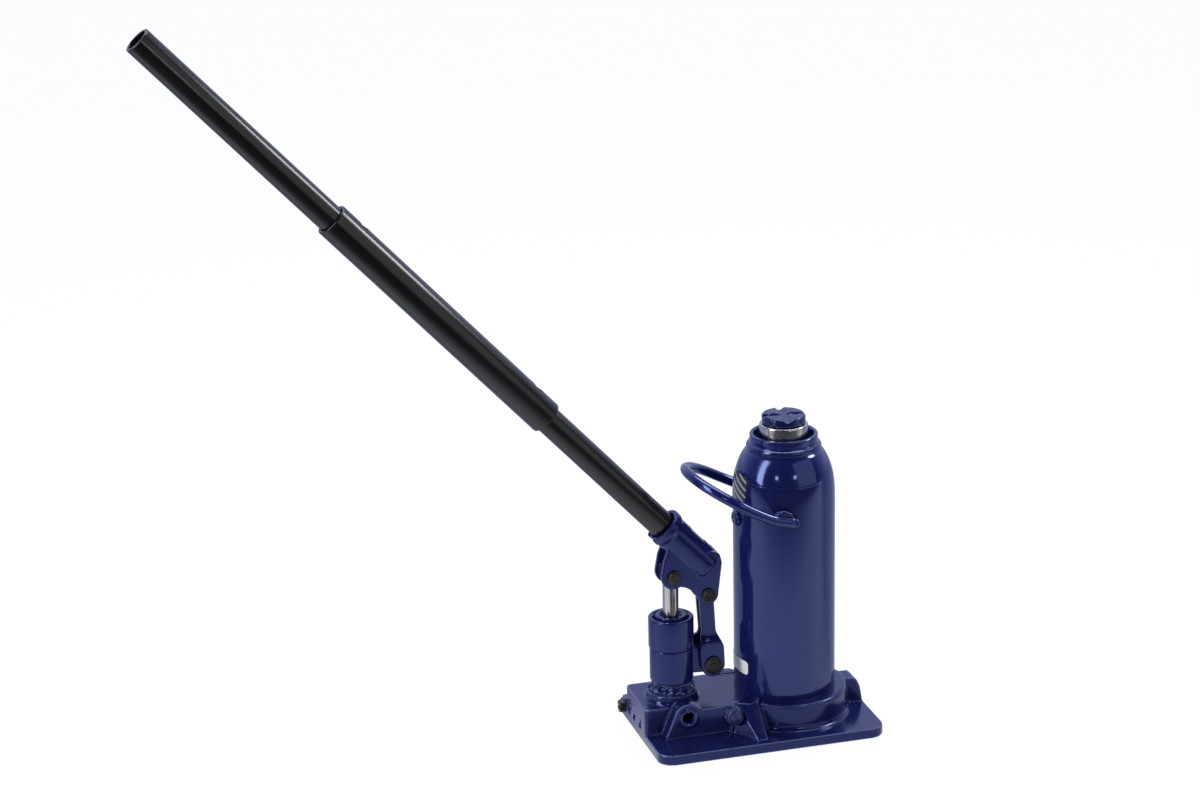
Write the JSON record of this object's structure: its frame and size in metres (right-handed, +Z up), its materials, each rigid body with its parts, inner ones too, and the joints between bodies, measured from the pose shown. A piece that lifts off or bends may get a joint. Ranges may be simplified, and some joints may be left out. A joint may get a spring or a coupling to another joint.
{
  "type": "car jack",
  "caption": "Hydraulic bottle jack: welded reservoir and ram on a cast base, extension screw with saddle, hand pump with linkage, and a long handle in joined tubes.",
  "frame": {"origin": "on the ram's axis, at the underside of the base", "axes": "+Z up along the ram's axis; +X from the pump towards the ram; +Y completes the frame, and the side with the threaded side port faces -Y"},
  "size_m": [0.5517, 0.127, 0.5935],
  "materials": {
    "blue_paint": "gloss",
    "black_coat": "semi-gloss",
    "black_oxide": "satin",
    "bright_steel": "polished",
    "turned_steel": "turned",
    "copper": "soft",
    "rubber": "matte",
    "urethane": "satin",
    "label_dark": "satin",
    "label_white": "satin"
  },
  "bodies": {
    "base": {"base_casting": "blue_paint", "delivery_passage_plug": "blue_paint", "suction_passage_plug": "black_oxide", "bypass_passage_plug": "blue_paint", "overload_valve_plug": "blue_paint", "overload_valve_spring": "turned_steel", "overload_valve_ball": "bright_steel", "release_valve_ball": "bright_steel", "reservoir_tube": "blue_paint", "reservoir_gasket": "rubber", "pressure_cylinder": "turned_steel", "cylinder_gasket": "copper", "tank_nut": "blue_paint", "tank_nut_oring": "rubber", "ram_wiper": "rubber", "rating_label": "label_dark", "notice_label": "label_white", "carry_handle": "blue_paint", "carry_handle_weld_front": "blue_paint", "carry_handle_weld_rear": "blue_paint", "pump_body": "blue_paint", "pump_foot_weld": "blue_paint", "pump_packing": "urethane", "pump_gland_nut": "blue_paint", "pump_rod_wiper": "blue_paint", "link_lower_pin": "black_oxide", "link_lower_pin_clip": "black_oxide"},
    "suction_ball": {"suction_valve_ball": "bright_steel"},
    "delivery_ball": {"delivery_valve_ball": "bright_steel"},
    "ram": {"ram": "bright_steel", "ram_piston_head": "turned_steel", "ram_cup_seal": "urethane", "ram_piston_nut": "turned_steel"},
    "screw_ring": {"screw_stop_ring": "turned_steel"},
    "screw": {"extension_screw": "turned_steel", "saddle": "blue_paint"},
    "pump_piston": {"pump_piston": "bright_steel", "pump_piston_seal": "urethane", "piston_pin": "black_oxide", "piston_pin_clip": "black_oxide"},
    "socket": {"handle_socket": "blue_paint", "link_upper_pin": "black_oxide", "link_upper_pin_clip": "black_oxide"},
    "link": {"link_front": "blue_paint", "link_rear": "blue_paint"},
    "handle_lower": {"handle_lower_tube": "black_coat"},
    "lower_button": {"handle_lower_button": "black_oxide"},
    "handle_sleeve": {"handle_sleeve": "black_coat"},
    "handle_upper": {"handle_upper_tube": "black_coat"},
    "upper_button": {"handle_upper_button": "black_oxide"},
    "release_valve": {"release_valve_screw": "black_oxide", "release_valve_oring": "rubber"},
    "filler_plug": {"filler_plug": "blue_paint"}
  },
  "joints": [
    {"name": "ram_lift", "type": "slide", "parent": "base", "child": "ram", "axis": [0, 0, 1], "range_m": [0, 0.15]},
    {"name": "screw_rise", "type": "slide", "parent": "ram", "child": "screw_ring", "axis": [0, 0, 1], "range_m": [0, 0.07]},
    {"name": "screw_turn", "type": "hinge", "parent": "screw_ring", "child": "screw", "pos_m": [0, 0, 0.1], "axis": [0, 0, 1], "range_deg": [0, 8410]},
    {"name": "pump_stroke", "type": "slide", "parent": "base", "child": "pump_piston", "axis": [0, 0, 1], "range_m": [-0.0226, 0]},
    {"name": "handle_swing", "type": "hinge", "parent": "pump_piston", "child": "socket", "pos_m": [-0.0937, 0, 0.1342], "axis": [0, -1, 0], "range_deg": [0, 42]},
    {"name": "link_swing", "type": "hinge", "parent": "base", "child": "link", "pos_m": [-0.0629, 0, 0.0574], "axis": [0, -1, 0], "range_deg": [-6, 0]},
    {"name": "handle_pull_out", "type": "slide", "parent": "socket", "child": "handle_lower", "axis": [-0.6794, 0, 0.7337], "range_m": [0, 0.055]},
    {"name": "lower_button_press", "type": "slide", "parent": "handle_lower", "child": "lower_button", "axis": [-0.7337, 0, -0.6794], "range_m": [0, 0.003], "stiffness_N_per_m": 1500, "springref_m": -0.002},
    {"name": "sleeve_pull_off", "type": "slide", "parent": "handle_lower", "child": "handle_sleeve", "axis": [-0.6794, 0, 0.7337], "range_m": [0, 0.06]},
    {"name": "upper_tube_pull_out", "type": "slide", "parent": "handle_sleeve", "child": "handle_upper", "axis": [-0.6794, 0, 0.7337], "range_m": [0, 0.06]},
    {"name": "upper_button_press", "type": "slide", "parent": "handle_upper", "child": "upper_button", "axis": [-0.7337, 0, -0.6794], "range_m": [0, 0.003], "stiffness_N_per_m": 1500, "springref_m": -0.002},
    {"name": "release_valve_turn", "type": "hinge", "parent": "base", "child": "release_valve", "pos_m": [-0.11, 0.038, 0.01], "axis": [-1, 0, 0], "range_deg": [0, 360]},
    {"name": "filler_plug_pull", "type": "slide", "parent": "base", "child": "filler_plug", "axis": [-0.9945, -0.1045, 0], "range_m": [0, 0.012]},
    {"name": "suction_ball_lift", "type": "slide", "parent": "base", "child": "suction_ball", "axis": [0, 0, 1], "range_m": [0, 0.001]},
    {"name": "delivery_ball_lift", "type": "slide", "parent": "base", "child": "delivery_ball", "axis": [0, 0, 1], "range_m": [0, 0.001]}
  ],
  "couplings": [
    {"joint": "screw_turn", "follows": "screw_rise", "rad_per_m": 2094.4},
    {"joint": "pump_stroke", "follows": "handle_swing", "m_per_rad": -0.03075},
    {"joint": "link_swing", "follows": "handle_swing", "ratio": -0.14}
  ]
}
